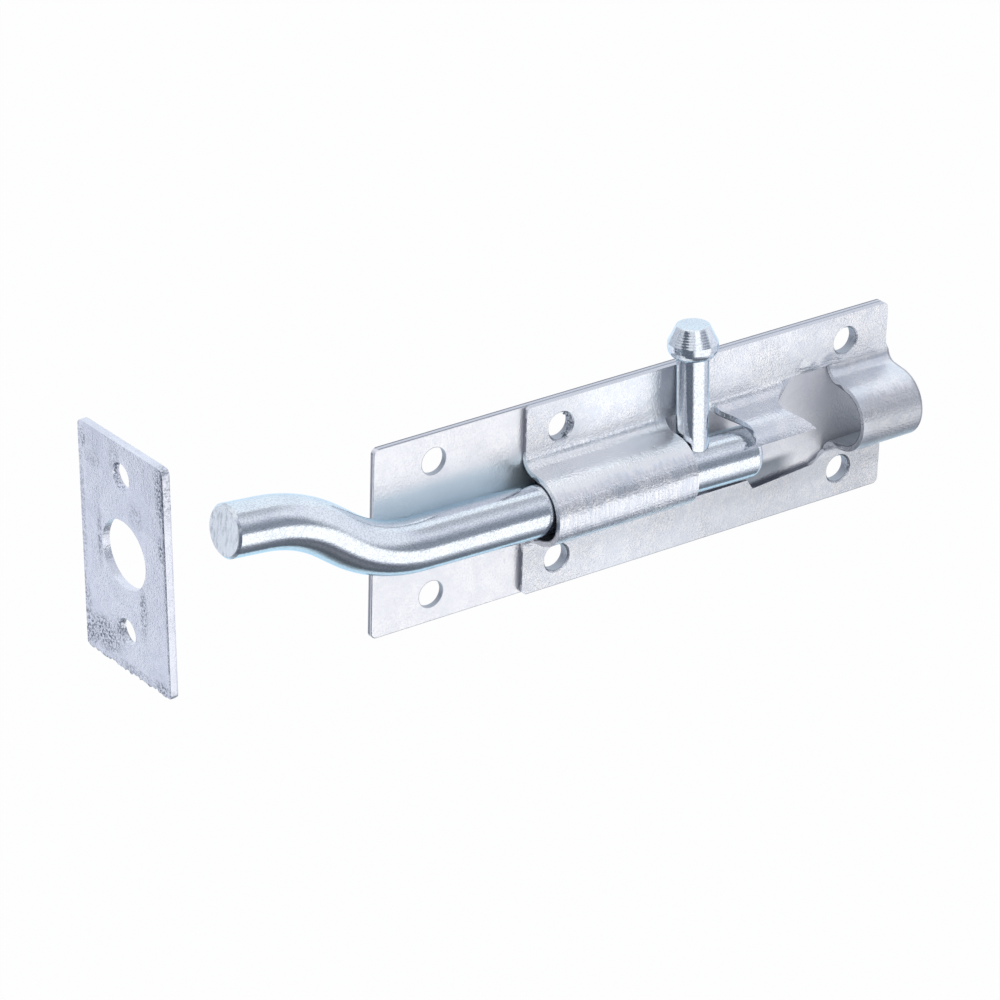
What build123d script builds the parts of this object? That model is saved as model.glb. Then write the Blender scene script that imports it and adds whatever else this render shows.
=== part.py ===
from build123d import *
import math
import os

# A cranked barrel bolt for a gate or shed door, in millimetres.
# X runs along the bolt, with the shoot at the -X end. The plates lie against the plane Y = 0
# and face -Y. Z is up. The origin is on the mounting face, below the front end of the barrel.

# Flat sheet that goes against the door
sheet_t = 1.1
plate_w = 38.0
backing_reach = 33.0
corner_r = 1.2
edge_round = 0.25

# Pressed sheet with the barrel in it
barrel_len = 85.0
hump_overhang = 0.8
foot_r = 2.3
draft_deg = 7.0

# Round bar and the room it has in the barrel
bar_d = 10.0
side_play = 0.6
back_gap = 0.25
crest_gap = 0.45
bar_tilt_deg = 1.4

# Sleeves and the openings between them, measured along X from the front end of the barrel
front_sleeve_len = 32.0
rear_sleeve_len = 13.6
front_notch_len = 13.3
front_notch_bulge = 1.4
tongue_lip_z = 3.0
front_notch_z = 8.8
rear_notch_z = 9.2
rear_notch_len = 11.1
hook_len = 4.5
slot_low_z = 9.8
slot_step_z = 11.9
slot_rise_z = 10.7
slot_end_z = 8.6
slot_step_len = 18.9
slot_step_run = 1.4
slot_end_run = 3.1

# Screw holes
screw_hole_d = 5.3
hole_dish = 0.35
row_half_z = 13.4
front_row_inset = 7.8
rear_row_inset = 10.1
end_row_inset = 13.1

# Crank of the bolt, from the middle of the front sleeve outwards
bar_rear = 33.2
straight_run = 43.0
crank_r = 28.5
crank_deg = 34.0
slant_len = 4.5
return_deg = 30.4
shoot_len = 7.6
tip_chamfer = 0.5
rear_round = 1.6

# Turned knob
knob_from_sleeve = 3.5
knob_lean_deg = 3.0
knob_set_deg = 1.5
shank_d = 6.1
head_d = 9.5
head_top_d = 6.2
head_start = 21.95
head_widest = 24.4
head_top = 28.35
head_lip = 0.6
head_top_round = 0.4
spigot_depth = 4.5
spigot_fit = 0.05

# Keeper plate, which stands apart from the bolt
keeper_gap = 19.45
keeper_t = 1.5
keeper_w = 25.5
keeper_h = 44.5
keeper_lean_deg = 2.3
keeper_swing_deg = 1.4
keeper_hole_rise = 1.0
keeper_corner_r = 1.2
keeper_hole_d = 13.0
keeper_screw_d = 5.1
keeper_screw_half_z = 15.1
keeper_edge_round = 0.25

# Places that follow from the sizes above
bar_r = bar_d / 2
bore_r = bar_r + side_play
crest_height = back_gap + bar_d + crest_gap
crest_centre = crest_height - bore_r
bar_axis_y = -(sheet_t + back_gap + bar_r)
pivot_x = front_sleeve_len / 2
knob_x = front_sleeve_len + knob_from_sleeve
backing_len = barrel_len + backing_reach
front_row_x = front_row_inset
rear_row_x = barrel_len - rear_row_inset
end_row_x = end_row_inset - backing_reach


def bolt_frame():
    """The place of the bolt: its axis tilts within the barrel's play, and the knob leans on the flange."""
    return Location((pivot_x, bar_axis_y, 0), (0, bar_tilt_deg, 0)) * Location((0, 0, 0), (-knob_lean_deg, 0, 0))


def crank_path():
    """Centre line of the bar in its own plane, from the rear end to the tip of the shoot."""
    main = Line((bar_rear, 0), (-straight_run, 0))
    rise = JernArc(start=main @ 1, tangent=main % 1, radius=crank_r, arc_size=-crank_deg)
    slant = Line(rise @ 1, (rise @ 1) + (rise % 1) * slant_len)
    level = JernArc(start=slant @ 1, tangent=slant % 1, radius=crank_r, arc_size=return_deg)
    shoot = Line(level @ 1, (level @ 1) + (level % 1) * shoot_len)
    flat = Wire([main, rise, slant, level, shoot])
    return Plane.XZ * flat


def screw_holes(columns, half_z, diameter, depth):
    """Round cutters along Y, one above and one below the bolt at each place in columns."""
    spots = [(x, 0, side * half_z) for x in columns for side in (1, -1)]
    tool = Cylinder(diameter / 2, depth, rotation=(90, 0, 0))
    return [Location(spot) * tool for spot in spots]


def dished_mouths(columns, half_z, face_y):
    """Shallow cones that open the screw holes towards the front."""
    top_r = screw_hole_d / 2 + hole_dish
    cone = Cone(screw_hole_d / 2, top_r, hole_dish, rotation=(90, 0, 0))
    middle = face_y + hole_dish / 2
    return [Location((x, middle, side * half_z)) * cone for x in columns for side in (1, -1)]


def sheet_outline(thickness):
    """One side of the pressed sheet as a line, with the barrel's crest, sides and feet.

    A thickness of zero gives the face towards the door. The crest and the feet keep their
    centres, so the wall is as thick on the curves as on the flats.
    """
    d = math.radians(draft_deg)
    crest = bore_r + thickness
    foot = foot_r + sheet_t - thickness
    foot_height = sheet_t + foot_r
    foot_z = (bore_r + sheet_t + foot_r + (crest_centre - foot_height) * math.sin(d)) / math.cos(d)
    side_top = (crest * math.cos(d), crest_centre + crest * math.sin(d))
    side_foot = (foot_z - foot * math.cos(d), foot_height - foot * math.sin(d))
    foot_mid_deg = 180 + (90 + draft_deg) / 2
    foot_mid = (
        foot_z + foot * math.cos(math.radians(foot_mid_deg)),
        foot_height + foot * math.sin(math.radians(foot_mid_deg)),
    )
    half = plate_w / 2

    def mirrored(point):
        return (-point[0], point[1])

    right = [
        Line((half, thickness), (foot_z, thickness)),
        ThreePointArc((foot_z, thickness), foot_mid, side_foot),
        Line(side_foot, side_top),
    ]
    left = [
        Line(mirrored(side_top), mirrored(side_foot)),
        ThreePointArc(mirrored(side_foot), mirrored(foot_mid), (-foot_z, thickness)),
        Line((-foot_z, thickness), (-half, thickness)),
    ]
    crown = ThreePointArc(side_top, (0, crest_centre + crest), mirrored(side_top))
    return right + [crown] + left


def pressed_blank():
    """The whole pressed sheet before its openings are cut."""
    half = plate_w / 2
    edges = sheet_outline(0) + sheet_outline(sheet_t)
    edges += [Line((half, 0), (half, sheet_t)), Line((-half, 0), (-half, sheet_t))]
    section = make_face(Wire.combine(edges)[0])
    back = Plane(origin=(0, -sheet_t, 0), x_dir=(0, 0, 1), z_dir=(1, 0, 0))
    blank = extrude(back * section, amount=barrel_len + hump_overhang, dir=(1, 0, 0))
    far = barrel_len + 2 * hump_overhang
    foot_z = bore_r + sheet_t + foot_r
    trim = [
        Line((barrel_len, 2 * half), (barrel_len, foot_z + 2 * hump_overhang)),
        Line((barrel_len, foot_z + 2 * hump_overhang), (far, foot_z - 2 * hump_overhang)),
        Line((far, foot_z - 2 * hump_overhang), (far, 2 * half)),
        Line((far, 2 * half), (barrel_len, 2 * half)),
    ]
    end = extrude(Plane.XZ * make_face(Wire.combine(trim)[0]), amount=plate_w, both=True)
    return blank - end - mirror(end, about=Plane.XY)


def opening_cutters():
    """Cutters for the slot below the tongue and for the two notches beside the tongue.

    The slot is cut from the front. The notches run down the barrel's upper side, so they are cut
    from above, with outlines drawn in X and in height above the backing sheet.
    """
    deep = 4 * bar_d
    tall = crest_height + sheet_t
    slot_start = front_sleeve_len
    slot_end = barrel_len - rear_sleeve_len
    step_start = slot_end - slot_step_len
    tongue_front = slot_start + front_notch_len
    tongue_tip = slot_end - rear_notch_len

    slot = [
        Line((slot_start, tongue_lip_z), (slot_start, -slot_low_z)),
        Line((slot_start, -slot_low_z), (step_start, -slot_low_z)),
        Line((step_start, -slot_low_z), (step_start + slot_step_run, -slot_step_z)),
        Line((step_start + slot_step_run, -slot_step_z), (slot_end - slot_end_run, -slot_rise_z)),
        Line((slot_end - slot_end_run, -slot_rise_z), (slot_end, -slot_end_z)),
        Line((slot_end, -slot_end_z), (slot_end, tongue_lip_z)),
        Line((slot_end, tongue_lip_z), (slot_start, tongue_lip_z)),
    ]
    slot_face = make_face(Wire.combine(slot)[0])
    cutters = [extrude(Plane.XZ * slot_face, amount=deep, both=True)]

    def notch(curve, far_x, top_z):
        start, end = curve @ 0, curve @ 1
        edges = [
            curve,
            Line(end, (end.X, -sheet_t)),
            Line((end.X, -sheet_t), (far_x, -sheet_t)),
            Line((far_x, -sheet_t), (far_x, 2 * tall)),
            Line((far_x, 2 * tall), (start.X, 2 * tall)),
            Line((start.X, 2 * tall), start),
        ]
        flat = make_face(Wire.combine(edges)[0])
        above = Plane(origin=(0, -sheet_t, tongue_lip_z), x_dir=(1, 0, 0), z_dir=(0, 0, -1))
        return extrude(above * flat, amount=top_z - tongue_lip_z, dir=(0, 0, 1))

    bulge = front_notch_bulge
    front_curve = Spline(
        (tongue_front, 0.94 * tall),
        (tongue_front + 0.85 * bulge, 0.85 * tall),
        (tongue_front + 0.93 * bulge, 0.69 * tall),
        (tongue_front + 0.3 * bulge, 0.47 * tall),
        (tongue_front - 0.6 * bulge, 0.2 * tall),
        (tongue_front - 3.2 * bulge, 0.0),
    )
    rear_curve = Spline(
        (tongue_tip, 0.94 * tall),
        (tongue_tip - 0.57 * hook_len, 0.78 * tall),
        (tongue_tip - hook_len, 0.55 * tall),
        (tongue_tip - 0.73 * hook_len, 0.3 * tall),
        (tongue_tip - 0.22 * hook_len, 0.135 * tall),
        (tongue_tip + 0.6 * hook_len, 0.0),
    )
    cutters.append(notch(front_curve, slot_start, front_notch_z))
    cutters.append(notch(rear_curve, slot_end, rear_notch_z))
    return cutters


def softened(body, edges, radius):
    """Round the given edges a little, as a sheared and dipped sheet has them."""
    return fillet(edges, radius)


def make_backing_plate():
    """Flat sheet behind the whole length, with a pair of holes beyond the barrel."""
    blank = Box(backing_len, sheet_t, plate_w, align=(Align.MIN, Align.MAX, Align.CENTER))
    plate = Location((-backing_reach, 0, 0)) * blank
    plate = fillet(plate.edges().filter_by(Axis.Y), corner_r)
    columns = (end_row_x, front_row_x, rear_row_x)
    plate -= screw_holes(columns, row_half_z, screw_hole_d, 6 * sheet_t)
    front = plate.faces().sort_by(Axis.Y)[0]
    return softened(plate, front.outer_wire().edges(), edge_round)


def make_barrel_plate():
    """Pressed sheet: two flanges with the barrel between them, cut into two sleeves and a tongue."""
    sheet = pressed_blank()
    corners = sheet.edges().filter_by(Axis.Y).filter_by(lambda edge: abs(edge.center().Z) > 0.4 * plate_w)
    sheet = fillet(corners, corner_r)
    for cutter in opening_cutters():
        sheet -= cutter
    columns = (front_row_x, rear_row_x)
    sheet -= screw_holes(columns, row_half_z, screw_hole_d, 6 * sheet_t)
    sheet -= dished_mouths(columns, row_half_z, -2 * sheet_t)
    return sheet


def knob_point():
    """Where the knob's axis crosses the bar, measured along the bar from the middle of the sleeve."""
    return knob_x - pivot_x


def knob_frame():
    """The knob's place on the bar: it is set a little back towards square with the plates."""
    return Location((knob_point(), 0, 0), (0, -knob_set_deg, 0))


def make_bolt_rod():
    """Cranked round bar with a blind cross hole for the knob."""
    path = crank_path()
    start = Plane(origin=path @ 0, z_dir=path % 0)
    bar = sweep(start * Circle(bar_r), path=path)
    ends = bar.edges().filter_by(GeomType.CIRCLE)
    rear = ends.sort_by(Axis.X)[-1]
    bar = fillet(rear, rear_round)
    tip = bar.edges().filter_by(GeomType.CIRCLE).sort_by(Axis.X)[0]
    bar = chamfer(tip, tip_chamfer)
    hole = Cylinder(shank_d / 2 + spigot_fit, bar_d, align=(Align.CENTER, Align.CENTER, Align.MIN))
    floor = bar_r - spigot_depth
    bar -= knob_frame() * Location((0, 0, floor)) * hole
    return bolt_frame() * bar


def make_knob():
    """Turned knob: a plain shank with a coned head, its foot set in the bar."""
    r = shank_d / 2
    floor = bar_r - spigot_depth
    undercut = (
        (r + head_d / 2) / 2 + 0.35,
        (head_start + head_widest) / 2 - 0.5,
    )
    shoulder = (head_d / 2, head_widest)
    lip = (head_d / 2, head_widest + head_lip)
    rim = (head_top_d / 2, head_top)
    half = [
        Line((0, floor), (r, floor)),
        Line((r, floor), (r, head_start)),
        ThreePointArc((r, head_start), undercut, shoulder),
        Line(shoulder, lip),
        Line(lip, rim),
        Line(rim, (0, head_top)),
        Line((0, head_top), (0, floor)),
    ]
    face = make_face(Wire.combine(half)[0])
    knob = revolve(Plane.XZ * face, Axis.Z, 360)
    top = knob.faces().sort_by(Axis.Z)[-1]
    knob = fillet(top.edges(), head_top_round)
    return bolt_frame() * knob_frame() * knob


def shoot_tip():
    """Centre of the shoot's end face, with the bolt in its place."""
    tip = bolt_frame() * Vertex(crank_path() @ 1)
    return tip.center()


def make_keeper_plate():
    """Flat keeper with one large hole for the shoot and two screw holes."""
    tip = shoot_tip()
    blank = Box(keeper_t, keeper_w, keeper_h)
    plate = fillet(blank.edges().filter_by(Axis.X), keeper_corner_r)
    plate = fillet(plate.faces().sort_by(Axis.X)[0].edges(), keeper_edge_round)
    along_x = (0, 90, 0)
    plate = Location((0, 0, -keeper_hole_rise)) * plate
    plate -= Cylinder(keeper_hole_d / 2, 4 * keeper_t, rotation=along_x)
    for side in (1, -1):
        hole = Cylinder(keeper_screw_d / 2, 4 * keeper_t, rotation=along_x)
        plate -= Location((0, 0, side * keeper_screw_half_z)) * hole
    turned = Location((0, 0, 0), (0, 0, keeper_swing_deg)) * Location((0, 0, 0), (0, -keeper_lean_deg, 0))
    return Location((tip.X - keeper_gap - keeper_t / 2, bar_axis_y, tip.Z + keeper_rise)) * turned * plate


# The keeper's hole stands where the shoot would enter it
keeper_rise = keeper_gap * math.tan(math.radians(crank_deg - return_deg + bar_tilt_deg))

makers = {
    "backing_plate": make_backing_plate,
    "barrel_plate": make_barrel_plate,
    "bolt_rod": make_bolt_rod,
    "knob": make_knob,
    "keeper_plate": make_keeper_plate,
}

os.makedirs("parts", exist_ok=True)
for name, make in makers.items():
    solid = make()
    solid.label = name
    export_step(solid, f"parts/{name}.step")
    box = solid.bounding_box()
    print(name, round(solid.volume, 1), [round(v, 2) for v in (*box.min, *box.max)])
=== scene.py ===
# %% [markdown]
# A cranked barrel bolt, dressed for its portrait. On the real thing a round steel bar lies in a
# pressed plate, a turned knob stands in the bar, and a skin of zinc covers everything.
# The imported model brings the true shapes: two sheets, the bar, the knob and a keeper plate. They
# could be modelled again from nothing, but the drawing is right already. So this lesson keeps it
# and adds what a drawing leaves out: zinc skins, dents, a ragged edge, studio light and a camera.

import math

import bmesh
import bpy
from mathutils import Matrix, Vector, noise


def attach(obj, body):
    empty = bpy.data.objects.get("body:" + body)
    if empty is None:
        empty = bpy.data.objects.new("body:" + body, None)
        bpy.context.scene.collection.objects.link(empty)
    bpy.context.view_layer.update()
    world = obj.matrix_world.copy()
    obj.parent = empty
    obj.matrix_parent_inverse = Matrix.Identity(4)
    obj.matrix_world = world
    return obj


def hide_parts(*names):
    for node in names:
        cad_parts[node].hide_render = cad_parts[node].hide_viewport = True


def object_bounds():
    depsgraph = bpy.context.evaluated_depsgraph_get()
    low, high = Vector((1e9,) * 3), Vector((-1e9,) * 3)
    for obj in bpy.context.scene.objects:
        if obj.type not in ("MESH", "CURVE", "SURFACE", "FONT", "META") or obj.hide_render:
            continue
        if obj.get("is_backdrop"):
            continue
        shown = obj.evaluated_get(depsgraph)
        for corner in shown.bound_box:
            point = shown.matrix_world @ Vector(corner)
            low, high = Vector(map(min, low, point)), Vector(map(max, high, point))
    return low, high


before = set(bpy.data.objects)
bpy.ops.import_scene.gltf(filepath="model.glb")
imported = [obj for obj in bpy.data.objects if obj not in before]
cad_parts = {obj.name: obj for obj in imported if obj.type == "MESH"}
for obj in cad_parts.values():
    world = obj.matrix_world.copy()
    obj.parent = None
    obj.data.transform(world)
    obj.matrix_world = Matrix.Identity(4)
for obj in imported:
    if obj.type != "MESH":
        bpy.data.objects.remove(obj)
bpy.ops.object.select_all(action="DESELECT")
MM = 0.001
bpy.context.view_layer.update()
scene = bpy.context.scene
scene.view_settings.view_transform = "Standard"

# %% [markdown]
# The camera stands to the left of the plates and above them, and is rolled a little. It could be
# placed by eye, but solving the photograph's perspective from the plates' corners gives its place
# and its lens at once. The long lens keeps the plates' edges nearly parallel.

# %% Camera
VIEW_AZIMUTH = math.radians(-37.18)
VIEW_ELEVATION = math.radians(26.49)
VIEW_ROLL = math.radians(1.63)
VIEW_DISTANCE = 967.6 * MM
VIEW_TARGET = Vector((-3.97, 0.0, 0.78)) * MM
FOCAL_IN_PIXELS = 5330.3
IMAGE_PIXELS = 1000.0
SENSOR = 36.0

towards_camera = Vector((
    math.sin(VIEW_AZIMUTH) * math.cos(VIEW_ELEVATION),
    -math.cos(VIEW_AZIMUTH) * math.cos(VIEW_ELEVATION),
    math.sin(VIEW_ELEVATION),
))
right = (-towards_camera).cross(Vector((0, 0, 1))).normalized()
up = towards_camera.cross(right)
rolled_right = right * math.cos(VIEW_ROLL) + up * math.sin(VIEW_ROLL)
rolled_up = -right * math.sin(VIEW_ROLL) + up * math.cos(VIEW_ROLL)
facing = Matrix((rolled_right, rolled_up, towards_camera)).transposed().to_4x4()
lens = bpy.data.cameras.new("portrait_lens")
lens.sensor_width = SENSOR
lens.lens = FOCAL_IN_PIXELS * SENSOR / IMAGE_PIXELS
lens.clip_start = 0.05
lens.clip_end = 20.0
camera = bpy.data.objects.new("portrait_camera", lens)
camera.matrix_world = Matrix.Translation(VIEW_TARGET + towards_camera * VIEW_DISTANCE) @ facing
scene.collection.objects.link(camera)
scene.camera = camera
print("Lens in mm:", round(lens.lens, 1))

# %% [markdown]
# Bare zinc shows its surroundings, so the studio matters as much as the metal. Lamps and cards
# could stand round the bolt, but a tent painted on the world is easier to tune and has no edges of
# its own. It starts as an empty world that knows which way each ray looks.

# %% Studio tent: the empty world
NODES_IN_A_ROW = 12


def add_node(tree, kind, **settings):
    """Adds a node with its settings. Nodes stand in rows, in the order in which they are made."""
    node = tree.nodes.new(kind)
    row, column = divmod(len(tree.nodes) - 1, NODES_IN_A_ROW)
    node.location = (220 * column, -320 * row)
    for name, value in settings.items():
        setattr(node, name, value)
    return node


def plug(tree, value, socket):
    """Links another node's socket, or sets a plain number, vector or colour."""
    if hasattr(value, "is_output"):
        tree.links.new(value, socket)
    elif socket.type == "RGBA":
        socket.default_value = (*value, 1.0)
    else:
        socket.default_value = value


def split_xyz(tree, vector):
    """The three parts of a vector."""
    node = add_node(tree, "ShaderNodeSeparateXYZ")
    plug(tree, vector, node.inputs[0])
    return node.outputs["X"], node.outputs["Y"], node.outputs["Z"]


scene.world = bpy.data.worlds.new("studio_tent")
scene.world.use_nodes = True
tent = scene.world.node_tree
tent.nodes.clear()
tent_output = add_node(tent, "ShaderNodeOutputWorld")
tent_light = add_node(tent, "ShaderNodeBackground")
plug(tent, tent_light.outputs[0], tent_output.inputs["Surface"])
tent_direction = add_node(tent, "ShaderNodeTexCoord").outputs["Generated"]
tent_side, tent_depth, tent_height = split_xyz(tent, tent_direction)
print("The empty tent has", len(tent.nodes), "nodes")

# %% [markdown]
# The bright stripe and the dark stripes along the real bar are the bands of its studio, mirrored:
# white paper low in front, a dim band above it, a dim side on the left. Each side of the tent has
# its own list of colours by height, set against the photograph. One list for the whole
# tent would give the plates and the bar the same stripes, which they don't have.

# %% Studio tent: colours by height
TENT_SIDES = {
    # elevation in degrees, colour
    "front": [
        (-90, (0.11, 0.12, 0.14)), (-78, (0.11, 0.12, 0.14)), (-66, (0.20, 0.21, 0.24)),
        (-54, (0.14, 0.15, 0.18)), (-50, (0.22, 0.23, 0.28)), (-45, (0.46, 0.49, 0.57)),
        (-40, (1.19, 1.20, 1.22)), (-6, (1.17, 1.18, 1.20)), (-3, (0.50, 0.54, 0.62)),
        (1, (0.29, 0.32, 0.38)), (16, (0.26, 0.29, 0.34)), (24, (0.38, 0.41, 0.48)),
        (33, (0.60, 0.63, 0.71)), (41, (0.78, 0.80, 0.88)), (49, (0.58, 0.60, 0.67)),
        (56, (0.55, 0.57, 0.63)), (66, (0.88, 0.90, 0.96)), (90, (0.98, 1.00, 1.02)),
    ],
    "right": [
        (-90, (0.11, 0.12, 0.14)), (-64, (0.14, 0.16, 0.19)), (-54, (0.20, 0.22, 0.26)),
        (-46, (0.60, 0.63, 0.70)), (-38, (0.80, 0.82, 0.88)), (-24, (0.66, 0.68, 0.76)),
        (-12, (0.72, 0.74, 0.82)), (2, (0.84, 0.86, 0.94)), (34, (0.84, 0.86, 0.94)),
        (44, (0.70, 0.72, 0.80)), (51, (0.50, 0.52, 0.58)), (57, (0.50, 0.52, 0.58)),
        (64, (0.90, 0.92, 0.98)), (90, (0.98, 1.00, 1.02)),
    ],
    "back": [
        (-90, (0.14, 0.16, 0.18)), (-76, (0.30, 0.36, 0.40)), (-68, (0.66, 0.80, 0.90)),
        (-46, (0.72, 0.90, 1.02)), (-30, (0.86, 0.92, 1.02)), (-18, (0.98, 1.00, 1.06)),
        (0, (0.88, 0.92, 1.00)), (25, (0.88, 0.93, 1.00)), (48, (0.84, 0.90, 0.98)),
        (58, (0.95, 1.00, 1.06)), (90, (0.98, 1.00, 1.02)),
    ],
    "left": [
        (-90, (0.11, 0.12, 0.14)), (-70, (0.32, 0.34, 0.38)), (-60, (0.13, 0.15, 0.19)),
        (-16, (0.14, 0.16, 0.20)), (-4, (0.15, 0.18, 0.23)), (8, (0.26, 0.29, 0.35)),
        (18, (0.55, 0.58, 0.65)), (36, (0.82, 0.84, 0.90)), (90, (0.98, 1.00, 1.02)),
    ],
    "rear_left": [
        (-90, (0.14, 0.16, 0.18)), (-70, (0.40, 0.46, 0.52)), (-32, (0.90, 0.94, 1.03)),
        (-18, (0.90, 0.94, 1.03)), (0, (0.55, 0.58, 0.66)), (30, (0.66, 0.69, 0.76)),
        (90, (0.98, 1.00, 1.02)),
    ],
}


def math_node(tree, operation, *values, clamp=False):
    """A Math node on sockets or plain numbers."""
    node = add_node(tree, "ShaderNodeMath", operation=operation, use_clamp=clamp)
    for value, socket in zip(values, node.inputs):
        plug(tree, value, socket)
    return node.outputs[0]


def colour_by_height(tree, height, stops):
    """A Color Ramp over the height of a direction, from -1 to 1, with stops given in degrees."""
    node = add_node(tree, "ShaderNodeValToRGB")
    elements = node.color_ramp.elements
    elements.remove(elements[-1])
    for place, (degrees, colour) in enumerate(stops):
        position = (math.sin(math.radians(degrees)) + 1) / 2
        element = elements.new(position) if place else elements[0]
        element.position = position
        element.color = (*colour, 1.0)
    plug(tree, math_node(tree, "MULTIPLY_ADD", height, 0.5, 0.5), node.inputs["Fac"])
    return node.outputs["Color"]


side_colours = {}
for side, stops in TENT_SIDES.items():
    side_colours[side] = colour_by_height(tent, tent_height, stops)
    print("Tent side", side, "has", len(stops), "colours")

# %% [markdown]
# The sides are joined by the angle round the bolt: 0 is straight in front, and the left is
# negative. The joints are soft, because a hard one would show in the bar as a line. The mixing
# uses two shapes again and again: a smooth step up, and its mirror, a smooth fall.

# %% Studio tent: joining the sides
def smooth_step(tree, value, low, high, start=0.0, end=1.0):
    """Goes smoothly from start to end while value goes from low to high."""
    node = add_node(tree, "ShaderNodeMapRange", interpolation_type="SMOOTHSTEP")
    for given, socket in zip((value, low, high, start, end), node.inputs):
        plug(tree, given, socket)
    return node.outputs["Result"]


def smooth_fall(tree, value, low, high):
    """Goes smoothly from 1 to 0 while value goes from low to high."""
    return smooth_step(tree, value, low, high, 1.0, 0.0)


def mix_colour(tree, factor, first, second, blend="MIX"):
    """A colour Mix node on sockets or plain colours."""
    node = add_node(tree, "ShaderNodeMix", data_type="RGBA", blend_type=blend)
    for value, place in ((factor, 0), (first, 6), (second, 7)):
        plug(tree, value, node.inputs[place])
    return node.outputs[2]


def angle_step(tree, angle, low, high, shape=smooth_step):
    """A smooth step or fall between two angles in degrees."""
    return shape(tree, angle, math.radians(low), math.radians(high))


def largest(tree, first, *others):
    """The largest of several masks."""
    for other in others:
        first = math_node(tree, "MAXIMUM", first, other)
    return first


around = math_node(tent, "ARCTAN2", tent_side, math_node(tent, "MULTIPLY", tent_depth, -1.0))
above_floor = largest(tent, tent_height, 0.0)
leaning = math_node(tent, "MULTIPLY_ADD", above_floor, math.radians(15), around)
to_right = angle_step(tent, around, 41, 55)
to_left = angle_step(tent, around, -40, -22, smooth_fall)
to_rear_left = angle_step(tent, around, -136, -122, smooth_fall)
past_right = angle_step(tent, leaning, 96, 110)
past_left = angle_step(tent, around, -179, -168, smooth_fall)
to_back = largest(tent, past_right, past_left)
tent_colour = mix_colour(tent, to_right, side_colours["front"], side_colours["right"])
tent_colour = mix_colour(tent, to_left, tent_colour, side_colours["left"])
tent_colour = mix_colour(tent, to_rear_left, tent_colour, side_colours["rear_left"])
tent_colour = mix_colour(tent, to_back, tent_colour, side_colours["back"])
print("The joined tent has", len(tent.nodes), "nodes")

# %% [markdown]
# Two things hang in the tent: a wide soft light in front, which the plates mirror, and the dark
# stand of the camera, which draws the thin dark stripe. Both hold still in any view, because they
# are painted by direction. The camera itself sees plain white, as behind the real bolt.

# %% Studio tent: soft light, camera stand and white background
SOFT_LIGHT = (1.15, 1.17, 1.20)
STAND_COLOUR = (0.13, 0.15, 0.19)
STAND_MIDDLE = (math.radians(-78), 0.40)
STAND_HALF = (math.radians(20), 0.17)


def times(tree, first, *others):
    """The product of masks and numbers."""
    for other in others:
        first = math_node(tree, "MULTIPLY", first, other)
    return first


def oval_gap(tree, across, up, middle, half):
    """0 in the middle of an oval, 1 on its outline and more beyond it."""
    squares = []
    for value, centre, reach in zip((across, up), middle, half):
        part = math_node(tree, "MULTIPLY_ADD", value, 1 / reach, -centre / reach)
        squares.append(times(tree, part, part))
    return math_node(tree, "ADD", *squares)


def sine(degrees):
    """The height of a direction that rises by this angle."""
    return math.sin(math.radians(degrees))


soft_light = times(
    tent,
    angle_step(tent, around, -34, -20),
    angle_step(tent, around, -2, 14, smooth_fall),
    smooth_step(tent, tent_height, sine(-8), sine(4)),
    smooth_fall(tent, tent_height, sine(55), sine(68)),
)
camera_stand = smooth_fall(tent, oval_gap(tent, around, tent_height, STAND_MIDDLE, STAND_HALF), 0.6, 1.4)
tent_colour = mix_colour(tent, soft_light, tent_colour, SOFT_LIGHT)
tent_colour = mix_colour(tent, camera_stand, tent_colour, STAND_COLOUR)
seen = add_node(tent, "ShaderNodeLightPath").outputs["Is Camera Ray"]
plug(tent, mix_colour(tent, seen, tent_colour, (1.0, 1.0, 1.0)), tent_light.inputs["Color"])
tent_light.inputs["Strength"].default_value = 1.0
print("The finished tent has", len(tent.nodes), "nodes")

# %% [markdown]
# The bolt is shown in the air, as on a door, so the floor lies well below it. A white backdrop
# would do as well, but a floor holds in the other views too. Its paper glows for the camera, and
# keeps a little of its own colour, so that it takes the faintest shadow.

# %% Floor
FLOOR_LEVEL = -160 * MM
FLOOR_SIZE = 6.0
PAPER_GLOW = 0.96

bpy.ops.mesh.primitive_plane_add(size=FLOOR_SIZE, location=(0, 0, FLOOR_LEVEL))
floor = bpy.context.object
floor.name = "studio_floor"
floor.visible_glossy = False
floor.visible_diffuse = False
paper = bpy.data.materials.new("floor_paper")
paper.use_nodes = True
tree = paper.node_tree
tree.nodes.clear()
paper_output = add_node(tree, "ShaderNodeOutputMaterial")
paper_skin = add_node(tree, "ShaderNodeBsdfDiffuse")
plug(tree, (0.86, 0.86, 0.87), paper_skin.inputs["Color"])
paper_glow = add_node(tree, "ShaderNodeEmission")
paper_mix = add_node(tree, "ShaderNodeMixShader")
seen = add_node(tree, "ShaderNodeLightPath").outputs["Is Camera Ray"]
plug(tree, times(tree, seen, PAPER_GLOW), paper_mix.inputs[0])
plug(tree, paper_skin.outputs[0], paper_mix.inputs[1])
plug(tree, paper_glow.outputs[0], paper_mix.inputs[2])
plug(tree, paper_mix.outputs[0], paper_output.inputs["Surface"])
floor.data.materials.append(paper)
floor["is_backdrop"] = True
print("Floor lies", round(-FLOOR_LEVEL / MM), "mm below the bolt")

# %% [markdown]
# Hot-dip galvanised sheet is a grey metal under a thin mottled skin. Molten zinc freezes in clouds
# a few millimetres across, some bluish and some lavender, with fine specks where ash stuck to it,
# and wiping leaves short marks up and down. Each sheet could have its own nodes, but one group
# with named inputs draws all three alike, and each sheet only sets its own amounts.

# %% Node group: zinc skin
FLOAT, VECTOR, COLOUR = "NodeSocketFloat", "NodeSocketVector", "NodeSocketColor"


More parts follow.
